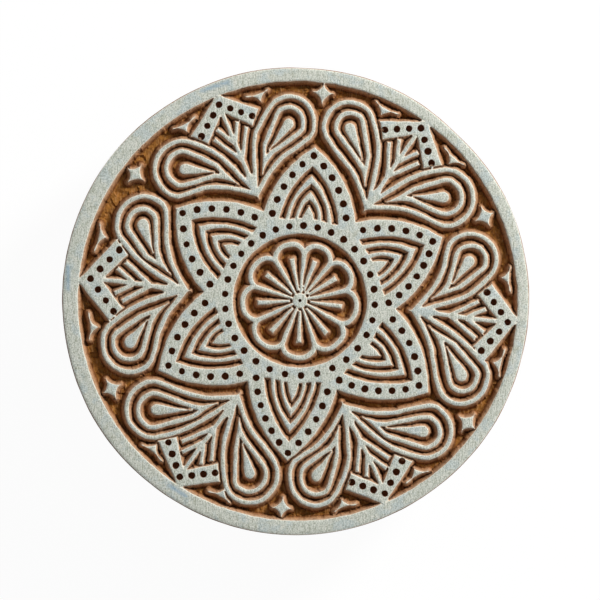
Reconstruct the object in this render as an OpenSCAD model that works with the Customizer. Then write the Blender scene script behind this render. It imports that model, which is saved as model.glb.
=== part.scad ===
// Hand-carved round wooden printing stamp, standing on its handle with the carved face up.
// The origin is the centre of the handle's flat top, which the stamp rests on. +Z is out of the carved face.

/* [Block] */
// Diameter of the round block
block_d = 150; // [140:1:170]
// Thickness of the block, from its back to the raised face
block_t = 24; // [18:0.5:32]
// Bevel round the edge of the back
back_bevel = 1.5; // [0.5:0.25:3]
// Bevel round the edge of the face
face_bevel = 0.4; // [0.2:0.1:1]

/* [Carving] */
// Depth of the ground that is cut away round the raised lines
relief_depth = 5; // [3:0.25:7]
// Width of the plain border ring, on average
border_w = 4.6; // [3:0.1:7]
// How far the carved ground lies off the block's centre
ground_shift = 0.7; // [0:0.1:1.2]
// How far the centre of the pattern lies off the block's centre
pattern_shift = 1.25; // [0:0.05:1.5]
// Width of the raised outlines
line_w = 1.6; // [1:0.1:2.2]
// Width of the thin ribs and spines
rib_w = 1.4; // [0.8:0.1:1.8]
// Diameter of the drilled dots
dot_d = 2.1; // [1.2:0.1:2.6]
// Depth of the drilled dots
dot_depth = 3.5; // [1:0.25:4.5]
// Number of dots in the round band
dot_count = 31; // [24:1:36]

/* [Handle] */
// Length of the handle
handle_l = 96; // [80:1:110]
// Width of the handle
handle_w = 36; // [30:1:44]
// Height of the handle
handle_h = 26; // [20:0.5:34]
// Radius of the handle's upright corners
handle_corner = 8; // [4:0.5:12]
// Radius of each finger groove
groove_r = 9; // [6:0.5:9.5]
// Depth of each finger groove
groove_depth = 5; // [4.5:0.25:6]
// Bevel round the handle's flat top
grip_bevel = 2; // [1:0.25:3]

/* [Nails] */
// Diameter of the nails
nail_d = 3.2; // [2.4:0.1:4]
// Diameter of the nail heads
nail_head_d = 7; // [5:0.25:8]
// Thickness of the nail heads
nail_head_t = 1.4; // [1:0.1:2]
// How deep the nails bite into the block
nail_bite = 9; // [6:0.5:10]
// Distance between the two nails
nail_gap = 60; // [40:1:66]
// How far the heads lie below the handle's top
nail_sink = 0.6; // [0.3:0.1:1]

/* [Hidden] */
$fn = 64;

block_r = block_d / 2;
face_z = handle_h + block_t;
ground_z = face_z - relief_depth;
ground_r = block_r - border_w;
// How far a cut runs past the face that it opens
cut_past = 1;

// The pattern is laid out on a ground of this radius, in the layout's own millimetres, and stretched to fit
layout_r = 70.4;
stretch = ground_r / layout_r;
pen = line_w / stretch;
rib_pen = rib_w / stretch;
// How far a line runs into what it grows out of
root = 0.4;
curve_steps = 2;
arc_steps = 6;

// Twelve compass lines as the carver drew them, clockwise from the top: petal, fan, petal, fan and so on
compass = [84.5, 54.5, 24, -5, -37.5, -67.5, -94.5, -123, -153, -185, -218, -248];
spacing = 360 / 12;
petals = [0 : 5];
sides = [-1, 1];

// Turns a place x across and y out along compass line i of an even layout into a place on the block
function compass_line(i) = compass[(i + 12) % 12] - 360 * floor(i / 12);
function turned(i, phi) = let(
    here = compass_line(i),
    next = compass_line(phi > 0 ? i + 1 : i - 1))
  here + (next - here) * abs(phi) / spacing;
function ray(r, a) = stretch * r * [cos(a), sin(a)];
function spot(i, p) = ray(norm(p), turned(i, atan2(p[0], p[1])));
function spots(i, path) = [for (p = path) spot(i, p)];

// The point at share t of an arc from a to b that bulges to its left by rise, and points all along it
function on_arc(a, b, rise, t) = let(
    span = norm(b - a),
    r = (span * span / 4 + rise * rise) / (2 * abs(rise)),
    half = asin(span / 2 / r),
    along = (b - a) / span,
    up = [-along[1], along[0]] * sign(rise),
    middle = (a + b) / 2 - up * (r - abs(rise)),
    turn = half * (2 * t - 1))
  middle + r * (up * cos(turn) + along * sin(turn));
function bulged(a, b, rise, n = arc_steps) = [for (k = [0 : n]) on_arc(a, b, rise, k / n)];
function round_end(centre, r, sweep, n) = [for (k = [0 : n])
  let(a = sweep[0] + (sweep[1] - sweep[0]) * k / n) centre + r * [cos(a), sin(a)]];

// A smooth open curve through the points of a list
function blend(a, b, c, d, t) = 0.5 * (2 * b + (c - a) * t
  + (2 * a - 5 * b + 4 * c - d) * pow(t, 2) + (3 * b - a - 3 * c + d) * pow(t, 3));
function smooth(p, n = curve_steps) = let(m = len(p) - 1)
  concat([for (k = [0 : m - 1], j = [0 : n - 1])
    blend(p[max(k - 1, 0)], p[k], p[k + 1], p[min(k + 2, m)], j / n)], [p[m]]);

// One side of a line whose width runs from w to v along a path, and the outline of the whole line
function side_of(a, b) = let(d = (b - a) / norm(b - a)) [-d[1], d[0]];
function edge_of(p, w, v, hand) = let(m = len(p) - 1)
  [for (k = [0 : m]) p[k] + hand * (w + (v - w) * k / m) / 2
    * side_of(p[max(k - 1, 0)], p[min(k + 1, m)])];
function backwards(p) = [for (k = [len(p) - 1 : -1 : 0]) p[k]];
function ribbon(p, w, v) = concat(edge_of(p, w, v, 1), backwards(edge_of(p, w, v, -1)));
function flipped(p, hand) = [for (q = p) [hand * q[0], q[1]]];

// A raised line along a path that comes back to its start, closed by a tail outside and a tail inside
module looped_line(i, hand, path, outer_tail, inner_tail) {
  difference() {
    polygon(spots(i, flipped(concat(outer_tail, edge_of(path, pen, pen, -1)), hand)));
    polygon(spots(i, flipped(concat(inner_tail, edge_of(path, pen, pen, 1)), hand)));
  }
}

// Centre: a round band of drilled dots about a rosette of nine petals and a button
band_r = 24;
band_in = 21.3;
band_out = 26.5;
first_dot = -173.5;
// The dots stand closer together on one side of the band
dot_drift = 4;
rosette_lines = [-177, -133, -91.5, -51, -8, 32, 69, 100.5, 142.5];
rosette_r = 18.3;
rosette_notch = 15.3;
rosette_crown = 2.8;
rosette_rib_start = 3.3;
rosette_rib_end = 13.6;
button_r = 2.4;
button_dot_d = 1.1;

function dot_line(k) = let(a = first_dot + 360 * k / dot_count) a + dot_drift * (1 + cos(a - 10));
function rosette_line(k) = rosette_lines[(k + 9) % 9] + 360 * floor(k / 9);
function rosette_edge(s) = rosette_r - (rosette_r - rosette_notch) * pow(abs(s), rosette_crown);

module rosette_petal(k) {
  here = rosette_line(k);
  far = (rosette_line(k + 1) - here) / 2;
  near = (here - rosette_line(k - 1)) / 2;
  edge = [for (s = [-1 : 0.25 : 1]) ray(rosette_edge(s), here + s * (s < 0 ? near : far))];
  polygon(ribbon(edge, line_w, line_w));
  polygon(ribbon([ray(button_r - root, here + far), ray(rosette_notch, here + far)], rib_w / 2, line_w));
  polygon(ribbon([ray(rosette_rib_start, here), ray(rosette_rib_end, here)], rib_w / 2, line_w));
}

module medallion() {
  difference() {
    circle(band_out * stretch);
    circle(band_in * stretch);
  }
  for (k = [0 : 8]) rosette_petal(k);
  circle(button_r * stretch);
}

// Star: six dotted petals, each with an opening, two arches and a small wedge
petal_reach = [49.5, 50, 50.5, 51.5, 50.5, 49.5];
petal_lean = [0, 0, -1.5, 0, 0.5, -1];
petal_foot = 15.7;
petal_foot_y = 25.8;
petal_bulge = 3;
petal_heel = [12.5, 20.5];
// Inside each petal: how far the tip lies below the petal's tip, half the width of the foot, and the bulge
opening = [6.4, 9.8, 1.9];
arches = [[9.3, 7.9, 1.5], [14.4, 4.7, 1]];
wedge = [19.2, 2.2, 0.4];
// An arch's wall is this much thicker at its tip than along its sides
tip_wall = 1.7;

function pointed(tip, foot, bulge, lean, foot_y) = concat(
  bulged([-foot, foot_y], [lean, tip], bulge),
  bulged([lean, tip], [foot, foot_y], bulge));

// An arch inside petal p, whose foot runs into the dotted band
module arch(p, shape, inset) {
  tip = petal_reach[p] - shape[0] - tip_wall * inset;
  polygon(spots(2 * p, pointed(tip, shape[1] - inset, shape[2], petal_lean[p], petal_foot_y - root)));
}

module petal(p) {
  difference() {
    polygon(spots(2 * p, concat(pointed(petal_reach[p], petal_foot, petal_bulge, petal_lean[p], petal_foot_y),
      [petal_heel, [0, band_in - root], [-petal_heel[0], petal_heel[1]]])));
    arch(p, opening, 0);
    circle((band_in + root) * stretch);
  }
  for (shape = arches) {
    difference() {
      arch(p, shape, 0);
      arch(p, shape, pen);
    }
  }
  arch(p, wedge, 0);
}

// Fans: two drops, a leaf with a spine and four ribs, and a dotted chevron that runs into the border
// How far the outer end of each fan lies off its line, across and out
fan_drift = [[-0.5, 0.5], [1, -0.5], [-1.5, 0], [1.5, 1], [1, -1], [-0.5, 0.5]];
drift_from = 38;
drift_to = 60;

// Where each drop's round end lies, across and out from the fan's line, and its radius
drops_left = [[19.5, 54.5, 8], [18.5, 53, 8.5], [21, 54, 8.5],
  [18, 55, 9], [17.5, 53.5, 8.5], [19, 53, 9]];
drops_right = [[18.5, 54, 9], [18.5, 54.5, 8], [19, 53.5, 9],
  [20, 54.5, 9], [18.5, 53, 8], [20, 53.5, 8.5]];
drop_stalk = [[3, 38.9], [6.4, 41.3], [11, 43.6], [15.5, 44.9]];
drop_flank = [[7.9, 54.6], [4.6, 48.8], [2.2, 43]];
drop_base = [0, 35.6];
drop_hollow_base = [1.3, 38.8];
drop_sweep = [-58, 122];

// A smaller drop lies inside each drop, with a seed inside it
inner_gap = 3.6;
inner_shift = [-0.2, 0.2];
inner_stalk = [10.5, 47.2];
inner_flank = [8.8, 50.2];
inner_tail = [[6.5, 46.6], [4.2, 41.8], [7.7, 44.9]];
inner_hollow_base = [8.2, 47.2];
inner_sweep = [-70, 125];
seed_r = 1.9;
seed_shift = [-0.5, -0.2];
seed_tip = [9.8, 48.2];
seed_sweep = [-60, 130];

// The leaf and the chevron drift off the fan's line as they go out
function drifting(f, p) = let(t = min(max((p[1] - drift_from) / (drift_to - drift_from), 0), 1))
  p + fan_drift[f] * t;
function all_drifting(f, path) = [for (p = path) drifting(f, p)];
function drop_end(f, hand) = hand > 0 ? drops_right[f] : drops_left[f];
function drop_centre(f, hand) = let(e = drop_end(f, hand)) [e[0], e[1]];
function drop_r(f, hand) = drop_end(f, hand)[2];
function drop_path(f, hand) = smooth(concat(drop_stalk,
  round_end(drop_centre(f, hand), drop_r(f, hand), drop_sweep, 6),
  flipped(all_drifting(f, flipped(drop_flank, hand)), hand)));
function inner_path(f, hand) = smooth(concat([inner_stalk],
  round_end(drop_centre(f, hand) + inner_shift, drop_r(f, hand) - inner_gap, inner_sweep, 6), [inner_flank]));
function seed_path(f, hand) =
  concat([seed_tip], round_end(drop_centre(f, hand) + seed_shift, seed_r, seed_sweep, 5));

module drop(f, hand) {
  i = 2 * f + 1;
  looped_line(i, hand, drop_path(f, hand), [drop_base], [drop_hollow_base]);
  looped_line(i, hand, inner_path(f, hand), inner_tail, [inner_hollow_base]);
  polygon(spots(i, flipped(seed_path(f, hand), hand)));
}

// The chevron's outer corner and inner corner at each end of an arm, and its inner tip
chevron_out = [12.2, 61.3];
chevron_in = [8, 57];
chevron_tip_in = 64.6;
chevron_root = 0.5;
spine = [[0, 37.5], [0, 44], [0, 52], [0, 58], [0, chevron_tip_in + root]];
ribs = [[[0.3, 54.3], [3.7, 60.2]], [[0.3, 48.8], [5.8, 57.6]]];
// A solid wedge joins the spine and both drops at the fan's foot
fan_wedge = [[0, 35], [2, 41], [0, 46], [-2, 41]];

// How far out the border's wall stands from the pattern's centre, along fan f
function wall_at(f) = layout_r + (ground_shift - pattern_shift) / stretch * cos(compass_line(2 * f + 1));

module leaf(f) {
  i = 2 * f + 1;
  polygon(spots(i, ribbon(all_drifting(f, spine), pen, rib_pen)));
  polygon(spots(i, fan_wedge));
  for (hand = sides, rib = ribs) {
    polygon(spots(i, ribbon(all_drifting(f, flipped(rib, hand)), rib_pen, rib_pen)));
  }
}

module chevron(f) {
  out = chevron_out;
  in = chevron_in;
  polygon(spots(2 * f + 1, concat([[0, wall_at(f) + chevron_root]],
    all_drifting(f, [out, in, [0, chevron_tip_in], [-in[0], in[1]], [-out[0], out[1]]]))));
}

// Left-over fields near the border: a four-pointed star over each petal, a triangle on each side of a chevron
star_points = [[0, 69.4], [3.4, 66.6], [0, 63], [-3.4, 66.6]];
star_hollow = -0.7;
star_shift = [[1, 0.4], [-0.5, -1.2], [-1.5, 0], [0.5, 0], [2, 0], [-0.5, 0]];
triangle_points = [[8.9, 67], [13.3, 63.6], [17.4, 66.2]];
triangle_bulges = [0.8, 0.5, 0.4];
field_steps = 3;

module corner_star(p) {
  at = [for (q = star_points) q + star_shift[p]];
  polygon(spots(2 * p, [for (k = [0 : 3]) each bulged(at[k], at[(k + 1) % 4], star_hollow, field_steps)]));
}

module triangle_field(f, hand) {
  edge = [for (k = [0 : 2])
    each bulged(triangle_points[k], triangle_points[(k + 1) % 3], triangle_bulges[k], field_steps)];
  polygon(spots(2 * f + 1, flipped(edge, hand)));
}

// Drilled dots: in the round band, down both sides of each petal and along both arms of each chevron
petal_dot_tips = [46.6, 46.6, 46.8, 48.9, 46.9, 46.8];
petal_dot_foot = [12.6, 25.5];
petal_dot_bulge = 2.45;
// How many steps long each side's row is, with a dot at each whole step
row_right = [5.5, 6, 6, 6, 5.5, 5.5];
row_left = [5.2, 5.5, 5.5, 5.5, 5.5, 5.2];
chevron_dots = 3;
chevron_dot_step = 0.3;

module dot(at, d = dot_d) {
  translate([at[0], at[1], face_z - dot_depth]) cylinder(d = d, h = dot_depth + cut_past);
}

module petal_dots(p) {
  tip = [petal_lean[p], petal_dot_tips[p]];
  dot(spot(2 * p, tip));
  for (hand = sides) {
    foot = [hand * petal_dot_foot[0], petal_dot_foot[1]];
    row = hand > 0 ? row_right[p] : row_left[p];
    for (k = [1 : floor(row)]) dot(spot(2 * p, on_arc(tip, foot, hand * petal_dot_bulge, k / row)));
  }
}

module chevron_dots_of(f) {
  i = 2 * f + 1;
  tip = [fan_drift[f][0], (wall_at(f) + chevron_tip_in + fan_drift[f][1]) / 2];
  dot(spot(i, tip));
  for (hand = sides, k = [1 : chevron_dots]) {
    end = drifting(f, [hand * (chevron_out[0] + chevron_in[0]) / 2, (chevron_out[1] + chevron_in[1]) / 2]);
    dot(spot(i, tip + (end - tip) * k * chevron_dot_step));
  }
}

module all_dots() {
  for (k = [0 : dot_count - 1]) dot(ray(band_r, dot_line(k)));
  for (k = petals) {
    petal_dots(k);
    chevron_dots_of(k);
  }
  dot([0, 0], button_dot_d);
}

// Everything raised inside the border, as flat shapes
module pattern() {
  medallion();
  for (k = petals) {
    petal(k);
    corner_star(k);
    leaf(k);
    chevron(k);
    for (hand = sides) {
      drop(k, hand);
      triangle_field(k, hand);
    }
  }
}

// Block: a turned disc with its ground cut away round the pattern
module blank() {
  rotate_extrude() polygon([[0, 0], [block_r - back_bevel, 0], [block_r, back_bevel],
    [block_r, block_t - face_bevel], [block_r - face_bevel, block_t], [0, block_t]]);
}

module cut_away() {
  linear_extrude(relief_depth + cut_past) difference() {
    translate([ground_shift, 0]) circle(ground_r);
    translate([pattern_shift, 0]) pattern();
  }
}

module carved_block() color("burlywood") {
  difference() {
    translate([0, 0, handle_h]) blank();
    translate([0, 0, ground_z]) cut_away();
    translate([pattern_shift, 0, 0]) all_dots();
    nail_shanks();
  }
}

// Handle: a bar with a round groove along each long side for the fingers
module handle_section() {
  difference() {
    polygon([[-handle_w / 2 + grip_bevel, 0], [handle_w / 2 - grip_bevel, 0], [handle_w / 2, grip_bevel],
      [handle_w / 2, handle_h], [-handle_w / 2, handle_h], [-handle_w / 2, grip_bevel]]);
    for (hand = sides) {
      translate([hand * (handle_w / 2 + groove_r - groove_depth), handle_h / 2]) circle(groove_r);
    }
  }
}

module handle_plan() {
  inner_l = handle_l - 2 * handle_corner;
  inner_w = handle_w - 2 * handle_corner;
  square([handle_l, inner_w], center = true);
  square([inner_l, handle_w], center = true);
  for (x = sides, y = sides) translate([x * inner_l / 2, y * inner_w / 2]) circle(handle_corner);
}

module handle() color("peru") {
  difference() {
    intersection() {
      linear_extrude(handle_h) handle_plan();
      rotate([90, 0, 90]) translate([0, 0, -handle_l / 2]) linear_extrude(handle_l) handle_section();
    }
    nail_shanks();
    for (x = sides) translate([x * nail_gap / 2, 0, -cut_past])
      cylinder(d = nail_head_d, h = cut_past + nail_sink + nail_head_t);
  }
}

// Nails: driven from the handle's top into the block
nail_top = nail_sink + nail_head_t;
nail_l = handle_h + nail_bite - nail_top;
nail_tip = nail_d * 1.5;

module nail_shanks() {
  for (x = sides) {
    translate([x * nail_gap / 2, 0, nail_top]) rotate_extrude()
      polygon([[0, 0], [nail_d / 2, 0], [nail_d / 2, nail_l - nail_tip], [0, nail_l]]);
  }
}

module handle_nails() color("silver") {
  nail_shanks();
  for (x = sides) translate([x * nail_gap / 2, 0, nail_sink]) cylinder(d = nail_head_d, h = nail_head_t);
}

carved_block();
handle();
handle_nails();
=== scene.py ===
import math
import random

import bmesh
import bpy
import numpy as np
from mathutils import Matrix, Vector, kdtree, noise
from mathutils.geometry import delaunay_2d_cdt


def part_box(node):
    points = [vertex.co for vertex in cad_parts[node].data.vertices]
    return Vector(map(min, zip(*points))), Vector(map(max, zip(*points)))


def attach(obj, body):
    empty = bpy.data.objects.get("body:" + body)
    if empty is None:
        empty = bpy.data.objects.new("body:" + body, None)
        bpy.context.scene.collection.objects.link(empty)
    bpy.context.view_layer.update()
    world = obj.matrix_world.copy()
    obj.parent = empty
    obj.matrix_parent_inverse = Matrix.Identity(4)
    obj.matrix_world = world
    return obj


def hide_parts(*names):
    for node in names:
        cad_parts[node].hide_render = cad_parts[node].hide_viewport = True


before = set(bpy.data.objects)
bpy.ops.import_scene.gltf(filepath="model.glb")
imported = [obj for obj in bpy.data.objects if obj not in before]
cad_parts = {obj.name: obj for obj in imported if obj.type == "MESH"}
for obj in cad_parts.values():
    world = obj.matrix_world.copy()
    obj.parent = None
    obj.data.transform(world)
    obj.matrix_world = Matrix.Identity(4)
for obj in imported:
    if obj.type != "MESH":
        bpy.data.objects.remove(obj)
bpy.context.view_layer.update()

# Stamp block
# One disc of close-grained hardwood, painted chalk white on its face. A knife followed the pattern by eye,
# chisels cut the ground away, a drill made the dots, and a rasp rounded the sawn rim. The back is planed
# flat, and the handle is nailed to it.

# The carving is worked out in millimetres, MM of them to a metre
MM = 1000
BACK_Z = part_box("carved_block")[0][2]
FACE_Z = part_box("carved_block")[1][2]

# The outlines of the carving start from the edges of the CAD block's face. They run smoothly between their
# corners and wander a little, as the knife did.
WELD = 1e-6  # metres between points that are one
LEVEL = 1e-5  # metres by which a flat face may be out
FINE = 0.1  # between the points of a fine outline
CORNER = math.radians(48)  # the least turn that stays a corner
EASE_ROUNDS = 25
OVERLAP = 40  # points that a ring without corners repeats at its ends while it is eased
DOT_ROUND = 8  # a shorter outline is a drilled dot
PATTERN_MOST = 73  # an outline that reaches further out is the edge of the block
STRAY = 0.17
STRAY_WAVES = ((0.3, 7, 1), (1.1, 4, 0.45))  # waves in a millimetre, layer of the noise, share of the stray


def outlines_of(mesh):
    """The closed edges of a mesh's top face in millimetres, each with the face on its left"""
    bm = bmesh.new()
    bm.from_mesh(mesh)
    bmesh.ops.remove_doubles(bm, verts=bm.verts, dist=WELD)
    top = max(v.co.z for v in bm.verts)
    faces = [f for f in bm.faces if all(v.co.z > top - LEVEL for v in f.verts)]
    raised = set(faces)
    onward = {}
    for f in faces:
        for loop in f.loops:
            if not any(g in raised for g in loop.edge.link_faces if g != f):
                onward[loop.vert] = loop.link_loop_next.vert
    found = []
    while onward:
        start, here = onward.popitem()
        path = [start.co.xy * MM]
        while here != start:
            path.append(here.co.xy * MM)
            here = onward.pop(here)
        found.append(np.array(path))
    bm.free()
    return found


def evenly(path, step):
    """Points at even distances along an open path, both ends included"""
    far = np.r_[0, np.cumsum(np.linalg.norm(np.diff(path, axis=0), axis=1))]
    n = max(1, round(far[-1] / step))
    at = np.linspace(0, far[-1], n + 1)
    return np.c_[np.interp(at, far, path[:, 0]), np.interp(at, far, path[:, 1])]


def eased(path):
    """An open path smoothed between its ends"""
    path = path.copy()
    for _ in range(EASE_ROUNDS):
        path[1:-1] = (path[:-2] + 2 * path[1:-1] + path[2:]) / 4
    return path


def cut_by_hand(path):
    """A closed outline in fine steps, smooth between its corners, and the numbers of its corner points"""
    before = path - np.roll(path, 1, 0)
    after = np.roll(path, -1, 0) - path
    across = before[:, 0] * after[:, 1] - before[:, 1] * after[:, 0]
    turn = np.abs(np.arctan2(across, (before * after).sum(1)))
    corners = list(np.nonzero(turn > CORNER)[0])
    if not corners:
        ring = evenly(np.vstack([path, path[:1]]), FINE)[:-1]
        return eased(np.vstack([ring[-OVERLAP:], ring, ring[:OVERLAP]]))[OVERLAP:-OVERLAP], [0]
    path = np.roll(path, -corners[0], 0)
    marks = [c - corners[0] for c in corners] + [len(path)]
    path = np.vstack([path, path[:1]])
    spans, starts = [], []
    for a, b in zip(marks, marks[1:]):
        starts.append(sum(len(s) for s in spans))
        spans.append(eased(evenly(path[a:b + 1], FINE))[:-1])
    return np.vstack(spans), starts


def stray_at(x, y):
    """How far the hand strays from the line at one place"""
    off = Vector((0, 0))
    for waves, layer, share in STRAY_WAVES:
        off += noise.noise_vector(Vector((x * waves, y * waves, layer))).xy * STRAY * share
    return off


# Without a seed, this kind of noise differs each time
noise.seed_set(7)
dots, cuts = [], []
for path in outlines_of(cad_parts["carved_block"].data):
    if np.linalg.norm(np.roll(path, -1, 0) - path, axis=1).sum() < DOT_ROUND:
        centre = path.mean(0)
        dots.append((centre, np.linalg.norm(path - centre, axis=1).mean()))
    elif np.linalg.norm(path, axis=1).max() < PATTERN_MOST:
        cuts.append(path)

# The points of the face. Those of an outline are linked, which fences the raised lines off from the ground.
# Each outline is also kept in fine steps, with the direction to its raised side at each step.
STEP = 0.55  # between an outline's points
INSET = 0.3  # from an outline to the row of points inside it
PATTERN_X = 1.25  # the pattern's centre is a little right of the disc's, and so is the border ring's
RING_X = 0.7
RING_R = 69.7
MEDALLION_R = 20
THIN_MEDALLION = 0.09  # how far the knife cut into the lines, and not into the border ring
THIN_PETALS = 0.18

points, kinds, links = [], [], []
fine_points, fine_left, insets = [], [], []


def add_point(place, kind):
    points.append(tuple(place))
    kinds.append(kind)


def add_outline(ring, kind):
    """Adds a closed outline, its points linked in a loop"""
    first = len(points)
    for place in ring:
        add_point(place, kind)
    links.extend((first + k, first + (k + 1) % len(ring)) for k in range(len(ring)))


def left_of(path):
    """The direction to the left at each point of a closed path"""
    along = np.roll(path, -1, 0) - np.roll(path, 1, 0)
    along /= np.maximum(np.linalg.norm(along, axis=1), 1e-9)[:, None]
    return np.c_[-along[:, 1], along[:, 0]]


def picked(starts, count):
    """The numbers of the fine points that the mesh takes: each corner, and one about every STEP between"""
    picks = set()
    for a, b in zip(starts, starts[1:] + [count]):
        n = max(1, round((b - a) * FINE / STEP))
        picks.update(a + round((b - a) * k / n) for k in range(n))
    return sorted(picks)


for path in cuts:
    path, starts = cut_by_hand(path)
    path = path + np.array([stray_at(x, y) for x, y in path])
    left = left_of(path)
    in_medallion = np.hypot(path[:, 0] - PATTERN_X, path[:, 1]) < MEDALLION_R
    inside_ring = np.hypot(path[:, 0] - RING_X, path[:, 1]) < RING_R
    path = path + (np.where(in_medallion, THIN_MEDALLION, THIN_PETALS) * inside_ring)[:, None] * left
    fine_points.append(path)
    fine_left.append(left)
    picks = picked(starts, len(path))
    add_outline(path[picks], "edge")
    insets.append(path[picks] + INSET * left[picks])

# The sawn rim has flats and bulges: where in degrees, how far out, how wide in degrees
RIM_R = 74.62
RIM_STEPS = 430
RIM_INSET = 0.4
RIM_WAVY = 0.1
RIM_WAVES = 3
RIM_SHAPE = [(46, -0.5, 9), (22, 0.3, 7), (142, 0.35, 9), (85, -0.2, 10), (190, -0.2, 14), (275, 0.25, 22),
             (345, -0.2, 12)]


def rim_radius(angle):
    wave = Vector((RIM_WAVES * math.cos(angle), RIM_WAVES * math.sin(angle), 2))
    r = RIM_R + RIM_WAVY * noise.noise(wave)
    for at, out, wide in RIM_SHAPE:
        off = (math.degrees(angle) - at + 180) % 360 - 180
        r += out * math.exp(-(off / wide) ** 2)
    return r


angles = [2 * math.pi * k / RIM_STEPS for k in range(RIM_STEPS)]
rim = np.array([[rim_radius(a) * math.cos(a), rim_radius(a) * math.sin(a)] for a in angles])
rim_links = range(len(links), len(links) + RIM_STEPS)
add_outline(rim, "rim")
fine_points.append(rim)
fine_left.append(-rim / np.linalg.norm(rim, axis=1)[:, None])
insets.append(rim * (1 - RIM_INSET / RIM_R))

# Each dot is a blind hole with a ragged edge and a cone at its bottom. The drill ran a little wide, at each
# dot by a share of its own.
BORE_STEPS = 16
BORE_WIDE = (1.02, 1.16)
BORE_RAGGED = 0.12
BORE_TAPER = 0.16
SEED_X, SEED_Y = 97, 31
for centre, radius in dots:
    seed = round(centre[0] * SEED_X + centre[1] * SEED_Y)
    r = radius * random.Random(seed).uniform(*BORE_WIDE)
    circle = []
    for k in range(BORE_STEPS):
        a = 2 * math.pi * k / BORE_STEPS
        out = 1 + BORE_RAGGED * noise.noise(Vector((centre[0] + math.cos(a), centre[1] + math.sin(a), 1)))
        circle.append([out * math.cos(a), out * math.sin(a)])
    circle = np.array(circle)
    add_outline(centre + r * circle, "bore_edge")
    for place in centre + (r - BORE_TAPER) * circle:
        add_point(place, "bore")
    add_point(centre, "bore_point")
    fine_points.append(centre + r * circle)
    fine_left.append(circle)


def tree_of(places):
    """Finds the nearest of some places quickly"""
    tree = kdtree.KDTree(len(places))
    for i, (x, y) in enumerate(places):
        tree.insert((x, y, 0), i)
    tree.balance()
    return tree


fine = np.vstack(fine_points)
to_face = np.vstack(fine_left)
near = tree_of(fine)
bores = tree_of([centre for centre, _ in dots])

# The rest of the face and the ground is filled with points, which keep clear of the outlines. On the ground,
# a point close to the crease where two walls meet marches away from its own wall, onto that crease.
INSET_CLEAR = 0.19
RIM_CLEAR = 0.8
BORE_CLEAR = 1.2
TOP_CLEAR = 0.5
GROUND_CLEAR = 0.2
GRID = 0.47
ROW_SHARE = 0.866  # from row to row, as a share of the grid
MARCH = 0.05
MARCH_STEPS = 7
MARCH_GAIN = 0.6  # a step that gains less than this share of its length has passed the crease
CELL = 0.2  # a square of this size takes one point


def grid_places():
    """Staggered rows of places over the disc, one in four of them marked as enough for the flat face"""
    row = 0
    y = -RIM_R
    while y < RIM_R:
        column = 0
        x = -RIM_R + (GRID / 2 if row % 2 else 0)
        while x < RIM_R:
            yield x, y, row % 2 == 0 and column % 2 == 0
            x += GRID
            column += 1
        y += GRID * ROW_SHARE
        row += 1


def marched(x, y, wall, gap):
    """A place on the ground after its march, and whether it came to a crease"""
    px, py, best = x, y, gap
    ux, uy = (x - wall.x) / gap, (y - wall.y) / gap
    for k in range(1, MARCH_STEPS + 1):
        qx, qy = x + ux * MARCH * k, y + uy * MARCH * k
        reach = near.find((qx, qy, 0))[2]
        if reach < best + MARCH * MARCH_GAIN:
            return px, py, "crease"
        px, py, best = qx, qy, reach
    return x, y, "ground"


for ring in insets:
    for x, y in ring:
        if near.find((x, y, 0))[2] > INSET_CLEAR:
            add_point((x, y), "inset")
taken = set()
for x, y, sparse in grid_places():
    if math.hypot(x, y) >= RIM_R - RIM_CLEAR or bores.find((x, y, 0))[2] < BORE_CLEAR:
        continue
    wall, index, gap = near.find((x, y, 0))
    raised = (x - wall.x) * to_face[index][0] + (y - wall.y) * to_face[index][1] > 0
    if raised and sparse and gap > TOP_CLEAR:
        add_point((x, y), "top")
    elif not raised and gap > GROUND_CLEAR:
        x, y, kind = marched(x, y, wall, gap)
        cell = (round(x / CELL), round(y / CELL))
        if cell not in taken:
            taken.add(cell)
            add_point((x, y), kind)

# Triangles between the points. A fill starts on the border ring, stops at the rim, and changes from face to
# ground or back at each outline that it crosses.
MEET = 1e-5  # outlines closer than this touch
RING_PLACE = Vector((-72.3, 0))
flat = delaunay_2d_cdt([Vector(p) for p in points], links, [], 0, MEET, True)
verts, flat_edges, tris, from_point, from_link = flat[:5]


def sides_of(tri):
    return [tuple(sorted(side)) for side in zip(tri, tri[1:] + tri[:1])]


def from_ring(tri):
    """How far a triangle's middle is from a place on the border ring"""
    return (sum((verts[v] for v in tri), Vector((0, 0))) / 3 - RING_PLACE).length


# The sides that are part of an outline, and whether that is the rim
fences = {tuple(sorted(side)): any(k in rim_links for k in made_of)
          for side, made_of in zip(flat_edges, from_link) if made_of}
beside = {}
for i, tri in enumerate(tris):
    for side in sides_of(tri):
        beside.setdefault(side, []).append(i)
first = min(range(len(tris)), key=lambda i: from_ring(tris[i]))
is_face = {first: True}
queue = [first]
while queue:
    i = queue.pop()
    for side in sides_of(tris[i]):
        if fences.get(side):
            continue
        for j in beside[side]:
            if j not in is_face:
                is_face[j] = is_face[i] != (side in fences)
                queue.append(j)
tris = [(tri, is_face[i]) for i, tri in enumerate(tris) if i in is_face]
on_face = [None] * len(verts)
for tri, state in tris:
    for v in tri:
        on_face[v] = state if on_face[v] in (None, state) else "both"

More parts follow.
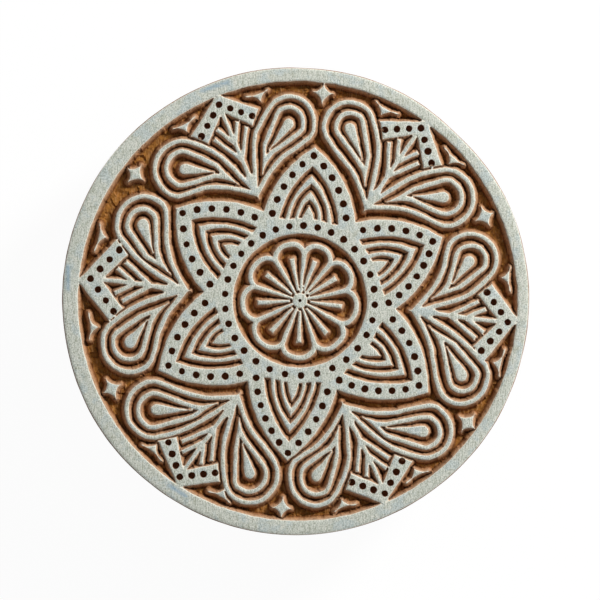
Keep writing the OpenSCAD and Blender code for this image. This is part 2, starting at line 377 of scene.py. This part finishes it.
# Depths of the cuts, and their tool marks: how deep a mark is, and how many come in a millimetre
EDGE_DROP = 0.17
EDGE_WEAR = (0.1, 0.6)
TOP_WEAR = (0.03, 0.4)
BORE_LIP = 0.06
BORE_DEPTH = 1.9
BORE_CONE = 0.4
FLOOR_DEPTH = 3.3
FLOOR_WAVES = (0.5, 0.35)
FLOOR_HUMPS = (0.25, 1.3)
GOUGE_DEPTH = 0.5
CHISEL_MARKS = (0.12, 1.6)
TORN_FIBRES = (0.08, 4.5)
WALL_SLOPE = 2.6  # how deep a wall goes in one millimetre
FACETS = 0.4  # facets of a wall in one millimetre, each with its own share of the slope
FACET_LEAST = 0.88
FACET_SPREAD = 0.3


def mark(p, depth, often):
    """How far a tool left one place higher or lower"""
    return depth * noise.noise(p * often)


def height_at(p, kind, raised, wall, gap):
    """The height of a point of the face over the painted wood, in millimetres"""
    if kind == "bore_edge":
        return -BORE_LIP
    if kind in ("edge", "rim"):
        return -EDGE_DROP - abs(mark(p, *EDGE_WEAR))
    if kind == "bore":
        return -BORE_DEPTH
    if kind == "bore_point":
        return -BORE_DEPTH - BORE_CONE
    if raised:
        return -abs(mark(p, *TOP_WEAR))
    facet = noise.cell(Vector((wall.x * FACETS, wall.y * FACETS, 3)))
    slope = WALL_SLOPE * (FACET_LEAST + FACET_SPREAD * facet)
    # The gouge left short strips that slant over the floor
    gouged = GOUGE_DEPTH * noise.cell(Vector((p.x * 0.5 + p.y * 0.2, p.y * 0.6, 5)))
    depth = FLOOR_DEPTH + mark(p, *FLOOR_WAVES) - gouged - abs(mark(p, *FLOOR_HUMPS))
    return -min(depth, gap * slope) + mark(p, *CHISEL_MARKS) + mark(p, *TORN_FIBRES)


# Strokes of blue pencil are left on the border ring, from one end to the other
PENCIL = [((-30.1, 67.2), (-21.7, 69.9)), ((-72.9, 10.5), (-73, 3.4)), ((-40.3, -59.2), (-35.3, -62.4))]
PENCIL_WIDE = 0.6


def pencil_at(p):
    total = 0
    for a, b in PENCIL:
        a, b = Vector((*a, 0)), Vector((*b, 0))
        share = min(1, max(0, (p - a).dot(b - a) / (b - a).length_squared))
        total += math.exp(-((p - a - (b - a) * share).length / PENCIL_WIDE) ** 2)
    return total


# The mesh of the face, with what its paint and wood follow at each point: whether it is painted, an edge, in
# a crease or in a bore, how far it is from the nearest wall, and how much pencil is on it. Only a narrow
# groove ends in a sharp crease, and a wider one has a floor.
CREASE_MOST = 1.75
CREASE_FADE = 0.5
coords = []
follows = {name: [] for name in ("paint", "edge", "reach", "crease", "bore", "pencil")}
for i, v in enumerate(verts):
    kind = kinds[from_point[i][0]] if from_point[i] else "edge"
    p = v.to_3d()
    wall, _, gap = near.find(p)
    in_bore = kind in ("bore", "bore_point")
    is_ground = on_face[i] is False
    sharp = min(1.0, max(0.0, (CREASE_MOST - gap) / CREASE_FADE))
    coords.append((p.x / MM, p.y / MM, FACE_Z + height_at(p, kind, on_face[i] is True, wall, gap) / MM))
    follows["paint"].append(0.0 if is_ground else 1.0)
    follows["edge"].append(1.0 if kind in ("edge", "rim") else 0.0)
    follows["reach"].append(gap if is_ground and not in_bore else 0.0)
    follows["crease"].append(sharp if kind == "crease" and is_ground else 0.0)
    follows["bore"].append(1.0 if in_bore else 0.0)
    follows["pencil"].append(pencil_at(p))

mesh = bpy.data.meshes.new("carved_face")
mesh.from_pydata(coords, [], [tri for tri, _ in tris])
for name, values in follows.items():
    mesh.attributes.new(name, "FLOAT", "POINT").data.foreach_set("value", values)
block = bpy.data.objects.new("stamp_block", mesh)
bpy.context.collection.objects.link(block)
mesh.update()

# The side is drawn down from the rim, with the edge of the face eased by wear and the edge of the back
# bevelled. Each step of those says how far down it goes, and how far out.
EASED_EDGE = ((0.12, 0.12), (0.3, 0.1))
EASED_HIGH = 0.55  # with the wear of the edge above the first step
BEVEL = ((1.0, -0.9), (0.5, -0.7))
BEVEL_HIGH = 1.5
SIDE_STEPS = 8


def only(obj):
    """Selects one object and makes it active"""
    bpy.ops.object.select_all(action="DESELECT")
    obj.select_set(True)
    bpy.context.view_layer.objects.active = obj


def step_down(drop, out):
    """Extrudes the selected ring down, and widens it"""
    bpy.ops.mesh.extrude_region_move(MESH_OT_extrude_region={},
                                     TRANSFORM_OT_translate={"value": (0, 0, -drop / MM)})
    factor = 1 + out / RIM_R
    bpy.ops.transform.resize(value=(factor, factor, 1), center_override=(0, 0, 0))


only(block)
bpy.ops.object.mode_set(mode="EDIT")
bpy.ops.mesh.select_mode(type="EDGE")
bpy.ops.mesh.select_all(action="DESELECT")
bpy.ops.mesh.select_non_manifold(extend=False, use_wire=False, use_boundary=True, use_multi_face=False,
                                 use_non_contiguous=False, use_verts=False)
for drop, out in EASED_EDGE:
    step_down(drop, out)
side_high = (FACE_Z - BACK_Z) * MM - EASED_HIGH - BEVEL_HIGH
for _ in range(SIDE_STEPS):
    step_down(side_high / SIDE_STEPS, 0)
for drop, out in BEVEL:
    step_down(drop, out)
bpy.ops.mesh.edge_face_add()
bpy.ops.mesh.select_all(action="SELECT")
bpy.ops.mesh.normals_make_consistent(inside=False)
bpy.ops.object.mode_set(mode="OBJECT")

# The back is planed level, the rasp left the side slightly wavy, and nothing stands out of the disc. These
# sizes are in metres.
LOWEST_RING = 0.00003
SIDE_FROM_R = 0.0735
SIDE_BELOW = 0.0004
RASPED = 0.0012
RASP_WAVES = (200, 200, 90)
DISC_MOST = 0.07498
low_z = min(v.co.z for v in mesh.vertices)
for v in mesh.vertices:
    if v.co.z < low_z + LOWEST_RING:
        v.co.z = BACK_Z
    elif math.hypot(v.co.x, v.co.y) > SIDE_FROM_R and v.co.z < FACE_Z - SIDE_BELOW:
        push = 1 + RASPED * noise.noise(v.co * Vector(RASP_WAVES))
        v.co.x *= push
        v.co.y *= push
    r = math.hypot(v.co.x, v.co.y)
    if r > DISC_MOST:
        v.co.x *= DISC_MOST / r
        v.co.y *= DISC_MOST / r


def srgb(r, g, b):
    """A colour written as it shows on screen, from 0 to 255"""
    return [c / 255 / 12.92 if c < 11 else ((c / 255 + 0.055) / 1.055) ** 2.4 for c in (r, g, b)] + [1]


class Paintbox:
    """A material in the making: adds its nodes and links them"""

    def __init__(self, name, roughness):
        self.material = bpy.data.materials.new(name)
        self.material.use_nodes = True
        self.tree = self.material.node_tree
        self.shader = self.tree.nodes["Principled BSDF"]
        self.shader.inputs["Roughness"].default_value = roughness
        self.shader.inputs["Specular IOR Level"].default_value = 0.25

    def node(self, kind, inputs=(), **settings):
        node = self.tree.nodes.new(kind)
        for key, value in settings.items():
            setattr(node, key, value)
        for key, value in dict(inputs).items():
            if isinstance(value, bpy.types.NodeSocket):
                self.tree.links.new(value, node.inputs[key])
            else:
                node.inputs[key].default_value = value
        return node

    def grain(self, stretch, scale, detail=4.0, roughness=0.6):
        """Noise in millimetres, drawn out along the grain"""
        where = self.node("ShaderNodeTexCoord").outputs["Object"]
        place = self.node("ShaderNodeMapping", {"Vector": where, "Scale": [s * MM for s in stretch]})
        made = self.node("ShaderNodeTexNoise", {"Vector": place.outputs[0], "Scale": scale, "Detail": detail,
                                                "Roughness": roughness})
        return made.outputs["Fac"]

    def attribute(self, name):
        return self.node("ShaderNodeAttribute", attribute_name=name).outputs["Fac"]

    def level(self, value, low, high, out_low=0.0, out_high=1.0):
        """A value stretched from one range to another"""
        return self.node("ShaderNodeMapRange", {"Value": value, "From Min": low, "From Max": high,
                                                "To Min": out_low, "To Max": out_high}).outputs["Result"]

    def times(self, a, b):
        return self.node("ShaderNodeMath", {0: a, 1: b}, operation="MULTIPLY").outputs[0]

    def plus(self, a, b):
        return self.node("ShaderNodeMath", {0: a, 1: b}, operation="ADD").outputs[0]

    def ramp(self, value, stops):
        node = self.node("ShaderNodeValToRGB", {"Fac": value})
        row = node.color_ramp.elements
        while len(row) < len(stops):
            row.new(0.5)
        for element, (at, colour) in zip(row, stops):
            element.position = at
            element.color = colour
        return node.outputs["Color"]

    def mix(self, share, under, over):
        return self.node("ShaderNodeMix", {0: share, 6: under, 7: over}, data_type="RGBA").outputs[2]

    def tinted(self, under, where, strength, over):
        """One colour over another, where a value is high"""
        return self.mix(self.times(where, strength), under, over)

    def colour(self, value):
        self.tree.links.new(value, self.shader.inputs["Base Color"])

    def bump(self, height, distance, strength):
        node = self.node("ShaderNodeBump", {"Height": height, "Distance": distance, "Strength": strength})
        self.tree.links.new(node.outputs[0], self.shader.inputs["Normal"])


face = Paintbox("carved_face", 0.85)
fibres = face.grain((1, 0.16, 0.4), 2.2)
blotches = face.grain((1, 1, 1), 0.16, 3)
specks = face.grain((1, 0.7, 1), 2.6, 3, 0.8)
cut_marks = face.grain((1, 0.7, 1), 1.3)
paint = face.attribute("paint")
# Bare wood, rusty brown on the floor, with painted light and painted shade that follow the depth of the cuts
# Painted light makes the walls pale tan towards their tops, and painted shade darkens a band along their
# feet
bare = face.ramp(face.level(face.attribute("reach"), 0, 5), [
    (0, srgb(212, 178, 148)), (0.1, srgb(204, 160, 124)), (0.2, srgb(172, 118, 72)),
    (0.26, srgb(112, 64, 26)), (0.34, srgb(158, 104, 42)), (0.6, srgb(172, 116, 50))])
bare = face.tinted(bare, face.level(cut_marks, 0.47, 0.64), 0.5, srgb(104, 58, 22))
bare = face.tinted(bare, face.level(fibres, 0.52, 0.66), 0.45, srgb(210, 160, 110))
# Painted shade, with some ink and dirt, darkens the creases nearly to black where two walls meet
bare = face.tinted(bare, face.level(face.attribute("crease"), 0.15, 1), 0.9, srgb(36, 12, 5))
bare = face.mix(face.attribute("bore"), bare, srgb(120, 70, 42))
# Chalky paint, thin enough for the grain to show, with traces of blue, and a painted highlight in cream
# along the edges
white = face.ramp(fibres, [
    (0.36, srgb(180, 184, 166)), (0.5, srgb(212, 217, 205)), (0.64, srgb(230, 230, 218))])
white = face.tinted(white, face.level(blotches, 0.5, 0.62), 0.4, srgb(176, 200, 210))
white = face.tinted(white, face.level(specks, 0.5, 0.66), 0.8, srgb(132, 130, 108))
white = face.tinted(white, face.level(specks, 0.49, 0.36), 0.7, srgb(246, 244, 232))
white = face.tinted(white, face.attribute("pencil"), 0.6, srgb(112, 158, 190))
# A painted highlight in cream along the raised edges
white = face.tinted(white, face.level(face.attribute("edge"), 0.3, 0.95), 0.75, srgb(250, 244, 226))
# The paint ends in a slightly broken line, just below the edges
broken = face.level(specks, 0.2, 0.8, -0.1, 0.1)
painted = face.level(face.plus(paint, broken), 0.86, 0.96)
face.colour(face.mix(painted, bare, white))
face.bump(face.plus(face.times(cut_marks, face.level(paint, 0, 1, 4, 0.3)), specks), 0.00022, 0.7)

rasped = Paintbox("block_side", 0.7)
growth = rasped.grain((0.3, 0.03, 0.9), 0.8)
pores = rasped.grain((1, 0.07, 2.2), 2, 2)
timber = rasped.ramp(growth, [
    (0.32, srgb(120, 74, 38)), (0.5, srgb(140, 88, 48)), (0.68, srgb(156, 102, 58))])
rasped.colour(rasped.tinted(timber, rasped.level(pores, 0.58, 0.7), 0.6, srgb(72, 38, 18)))
rasped.bump(pores, 0.0002, 0.5)

# The wood of the side starts past the rim, and below the deepest cut. These sizes are in metres too.
RIM_FROM_R = 0.0738
RIM_BELOW = 0.0002
DEEPEST_CUT = 0.006
mesh.materials.append(face.material)
mesh.materials.append(rasped.material)
for polygon in mesh.polygons:
    c = polygon.center
    past_rim = math.hypot(c.x, c.y) > RIM_FROM_R and c.z < FACE_Z - RIM_BELOW
    if past_rim or c.z < FACE_Z - DEEPEST_CUT:
        polygon.material_index = 1
only(block)
bpy.ops.object.shade_smooth_by_angle(angle=math.radians(32))
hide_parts("carved_block")
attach(block, "root")

# Handle
# A bar of hardwood with a finger groove planed along each side, nailed to the back of the block. Its grain
# runs along it, its edges are worn round, and hands have darkened and polished it.
WORN_EDGE = 0.0006
CLOSE = 1e-5  # metres between points of the worn edges that are one
handle = bpy.data.objects.new("grip_bar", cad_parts["handle"].data.copy())
bpy.context.collection.objects.link(handle)
only(handle)
bpy.ops.object.mode_set(mode="EDIT")
bpy.ops.mesh.select_all(action="SELECT")
bpy.ops.mesh.remove_doubles(threshold=WELD)
bpy.ops.mesh.dissolve_limited(angle_limit=math.radians(1))
bpy.ops.object.mode_set(mode="OBJECT")
worn = handle.modifiers.new("worn", "BEVEL")
worn.width = WORN_EDGE
worn.segments = 3
worn.limit_method = "ANGLE"
worn.angle_limit = math.radians(28)
bpy.ops.object.modifier_apply(modifier="worn")
bpy.ops.object.mode_set(mode="EDIT")
bpy.ops.mesh.select_all(action="SELECT")
bpy.ops.mesh.remove_doubles(threshold=CLOSE)
bpy.ops.mesh.dissolve_degenerate(threshold=CLOSE)
bpy.ops.mesh.normals_make_consistent(inside=False)
bpy.ops.object.mode_set(mode="OBJECT")
bpy.ops.object.shade_smooth_by_angle(angle=math.radians(35))

grip = Paintbox("handle_wood", 0.45)
growth = grip.grain((0.04, 1, 0.7), 0.8)
pores = grip.grain((0.15, 1.6, 1.2), 3, 2)
timber = grip.ramp(growth, [
    (0.32, srgb(92, 52, 26)), (0.5, srgb(126, 76, 40)), (0.68, srgb(150, 96, 54))])
grip.colour(grip.tinted(timber, grip.level(pores, 0.56, 0.7), 0.6, srgb(60, 30, 14)))
grip.bump(pores, 0.0002, 0.4)
handle.data.materials.clear()
handle.data.materials.append(grip.material)
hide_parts("handle")
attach(handle, "root")

# Nails
# Two round wire nails with flat heads, driven through the handle into the block, and sunk a little. They are
# the CAD nails themselves, of dull steel with a little rust.
steel = Paintbox("nail_steel", 0.5)
steel.shader.inputs["Metallic"].default_value = 0.9
rust = steel.grain((1, 1, 1), 0.8)
steel.colour(steel.ramp(rust, [
    (0.35, srgb(128, 122, 116)), (0.6, srgb(104, 88, 76)), (0.75, srgb(88, 56, 36))]))
for nail_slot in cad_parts["handle_nails"].material_slots:
    nail_slot.material = steel.material

# Floor
# A plain sheet that the stamp lies on, for the picture only. The camera sees it as white, and the stamp's
# faint shadow stays on it.
FLOOR_SIZE = 6
WHITE_GLOW = 1.02
GLOW_SHARE = 0.94
only(block)
bpy.ops.mesh.primitive_plane_add(size=FLOOR_SIZE, location=(0, 0, 0))
floor = bpy.context.object
floor.name = "floor"
sheet = Paintbox("floor_sheet", 0.9)
sheet.shader.inputs["Base Color"].default_value = srgb(236, 236, 234)
seen = sheet.node("ShaderNodeLightPath")
glow = sheet.node("ShaderNodeEmission", {"Color": (1, 1, 1, 1), "Strength": WHITE_GLOW})
share = sheet.times(seen.outputs["Is Camera Ray"], GLOW_SHARE)
blend = sheet.node("ShaderNodeMixShader", {0: share, 1: sheet.shader.outputs[0], 2: glow.outputs[0]})
sheet.tree.links.new(blend.outputs[0], sheet.tree.nodes["Material Output"].inputs["Surface"])
floor.data.materials.append(sheet.material)

# Light
# One soft lamp high on the upper right, which gives the walls of the cuts a light and a dark side, and a dim
# even fill from all round.
LAMP_PLACE = Vector((0.76, 0.66, 0.78))
LAMP_TARGET = Vector((0, 0, 0.05))


def look(obj, place, target, up=Vector((0, 1, 0))):
    """Puts an object at a place, with its face to a target"""
    back = (place - target).normalized()
    right = up.cross(back).normalized()
    over = back.cross(right)
    obj.matrix_world = Matrix.Translation(place) @ Matrix((right, over, back)).transposed().to_4x4()


bpy.context.scene.view_settings.view_transform = "Standard"
lamp = bpy.data.lights.new("lamp", "AREA")
lamp.shape = "DISK"
lamp.size = 0.32
lamp.energy = 17
lamp_object = bpy.data.objects.new("lamp", lamp)
bpy.context.collection.objects.link(lamp_object)
look(lamp_object, LAMP_PLACE, LAMP_TARGET)
world = bpy.data.worlds.new("room")
bpy.context.scene.world = world
world.use_nodes = True
fill = world.node_tree.nodes["Background"]
fill.inputs["Color"].default_value = (0.93, 0.96, 1, 1)
fill.inputs["Strength"].default_value = 0.24

# Camera
# Far above the stamp and a little to its lower left, so that a thin line of its side shows there. The view
# takes in as much at the height of the face as the photograph does.
TILT = math.radians(2.3)
TILT_X, TILT_Y = -0.78, -0.62
DISTANCE = 1.2
VIEW_WIDE = 0.1919
SENSOR = 36
camera = bpy.data.cameras.new("camera")
camera.sensor_width = SENSOR
camera.lens = SENSOR * DISTANCE / VIEW_WIDE
camera.clip_start = 0.05
camera_object = bpy.data.objects.new("camera", camera)
bpy.context.collection.objects.link(camera_object)
bpy.context.scene.camera = camera_object
view_centre = Vector((0.00128, 0.00016, FACE_Z))
away = Vector((math.sin(TILT) * TILT_X, math.sin(TILT) * TILT_Y, math.cos(TILT)))
look(camera_object, view_centre + DISTANCE * away, view_centre)
